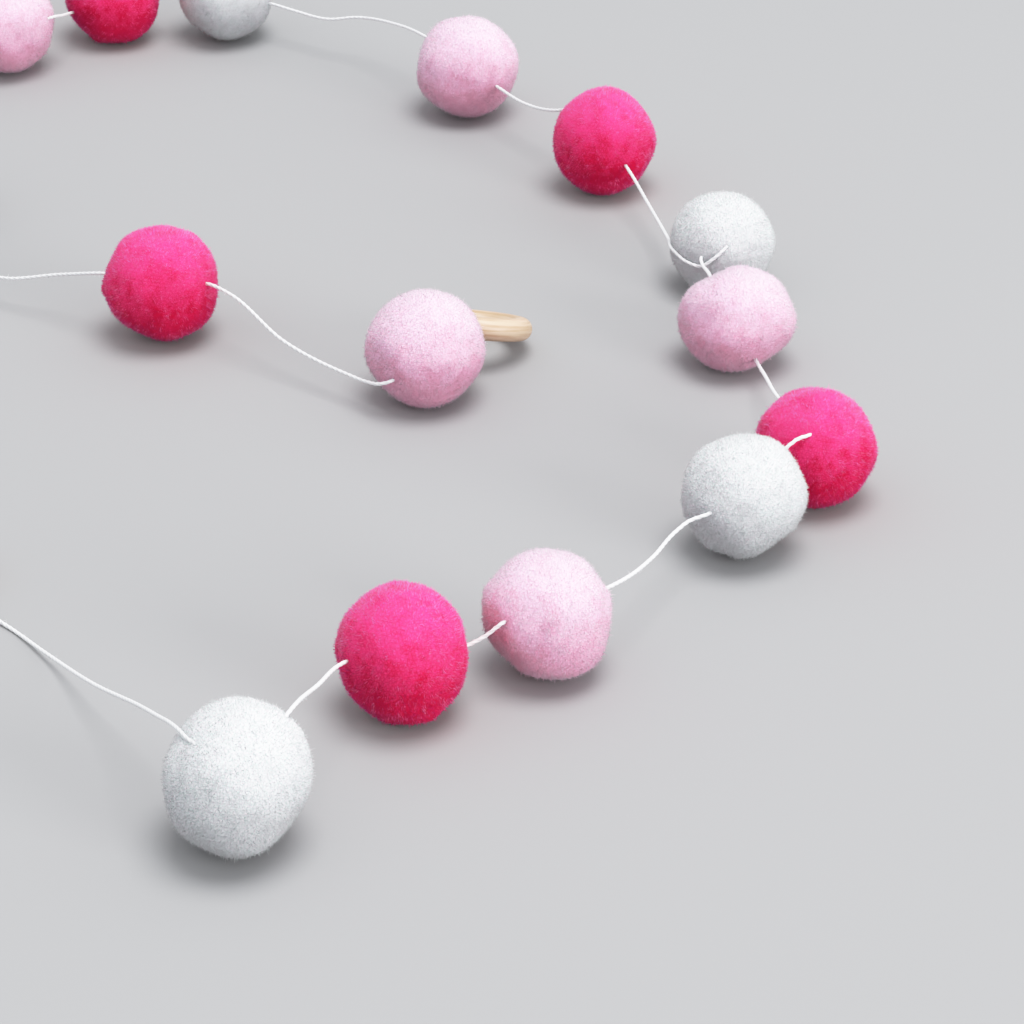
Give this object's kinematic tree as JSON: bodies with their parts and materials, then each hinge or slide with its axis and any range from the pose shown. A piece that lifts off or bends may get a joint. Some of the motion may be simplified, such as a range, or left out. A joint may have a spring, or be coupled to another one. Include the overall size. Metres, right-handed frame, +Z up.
{
  "type": "pom pom garland",
  "caption": "Garland of plush yarn pompoms in pale pink, hot pink and white on a cotton string, with a wooden ring at each end, laid in a loose spiral.",
  "frame": {"origin": "on the table, under the middle of the box of the pompoms and rings", "axes": "+Z up from the table, +Y along the garland's longer side as it lies, away from the viewer, +X to the right"},
  "size_m": [0.2746, 0.4791, 0.0337],
  "materials": {
    "pile_pale_pink": "dense trimmed plush pile, pale pink, matte",
    "pile_hot_pink": "dense trimmed plush pile, hot pink, matte",
    "pile_white": "dense trimmed plush pile, white, matte",
    "cotton_string": "twisted white cotton, matte",
    "ring_wood": "pale turned wood, sanded smooth, satin"
  },
  "bodies": {
    "root": {"pompom_01": "pile_pale_pink", "pompom_02": "pile_hot_pink", "pompom_03": "pile_white", "pompom_04": "pile_pale_pink", "pompom_05": "pile_hot_pink", "pompom_06": "pile_white", "pompom_07": "pile_pale_pink", "pompom_08": "pile_hot_pink", "pompom_09": "pile_white", "pompom_10": "pile_pale_pink", "pompom_11": "pile_hot_pink", "pompom_12": "pile_white", "pompom_13": "pile_pale_pink", "pompom_14": "pile_hot_pink", "pompom_15": "pile_white", "string": "cotton_string", "tie_start": "cotton_string", "tie_end": "cotton_string", "ring_start": "ring_wood", "ring_end": "ring_wood"}
  },
  "joints": []
}
